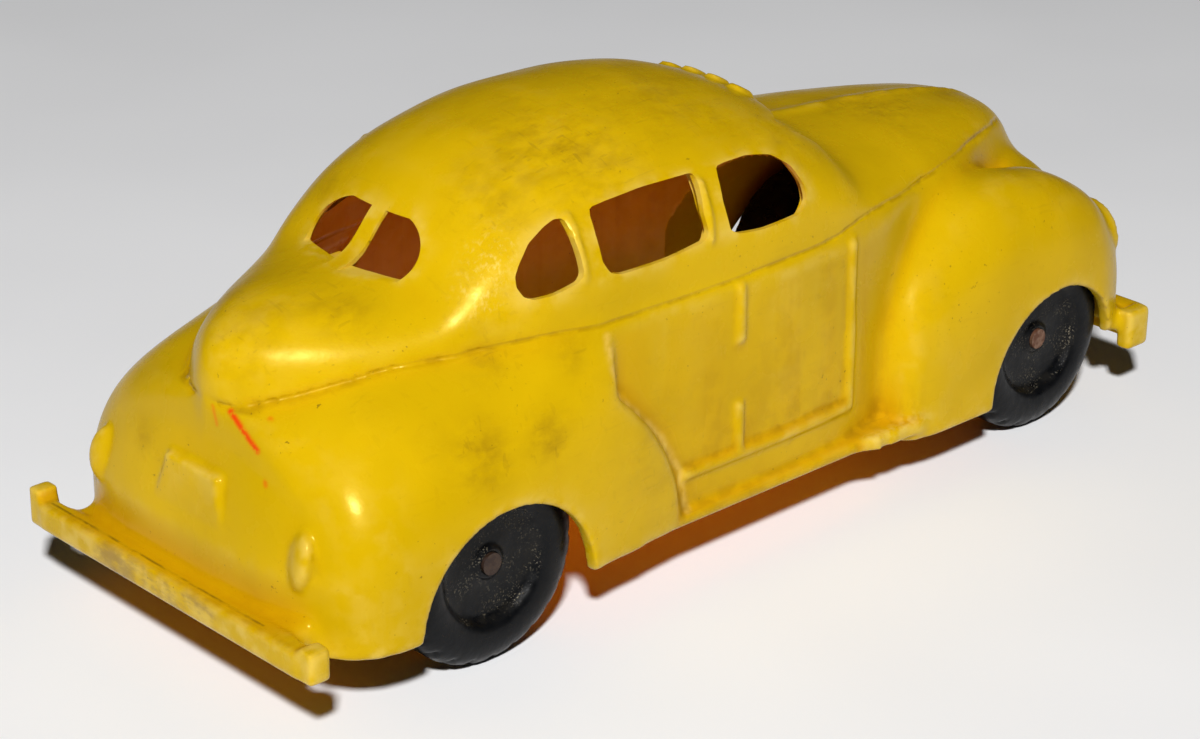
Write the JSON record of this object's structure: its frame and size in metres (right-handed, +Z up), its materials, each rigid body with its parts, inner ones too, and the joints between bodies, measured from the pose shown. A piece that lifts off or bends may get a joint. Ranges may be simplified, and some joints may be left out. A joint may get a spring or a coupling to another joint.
{
  "type": "toy taxi car",
  "caption": "One-piece moulded yellow toy sedan taxi, hollow and open underneath, with open windows and black wheels turning on two wire axles.",
  "frame": {"origin": "on the ground under the middle of the car", "axes": "+X forward, +Y to the car's left, +Z up"},
  "size_m": [0.12, 0.0438, 0.0466],
  "materials": {
    "body_plastic": "waxy, scuffed",
    "wheel_plastic": "dusty satin",
    "axle_wire": "tarnished"
  },
  "bodies": {
    "body": {"body_shell": "body_plastic"},
    "front_wheelset": {"front_axle": "axle_wire", "wheel_front_left": "wheel_plastic", "wheel_front_right": "wheel_plastic"},
    "rear_wheelset": {"rear_axle": "axle_wire", "wheel_rear_left": "wheel_plastic", "wheel_rear_right": "wheel_plastic"}
  },
  "joints": [
    {"name": "front_axle_spin", "type": "hinge", "parent": "body", "child": "front_wheelset", "pos_m": [0.043, 0, 0.0104], "axis": [0, 1, 0], "continuous": true},
    {"name": "rear_axle_spin", "type": "hinge", "parent": "body", "child": "rear_wheelset", "pos_m": [-0.036, 0, 0.0104], "axis": [0, 1, 0], "continuous": true}
  ]
}
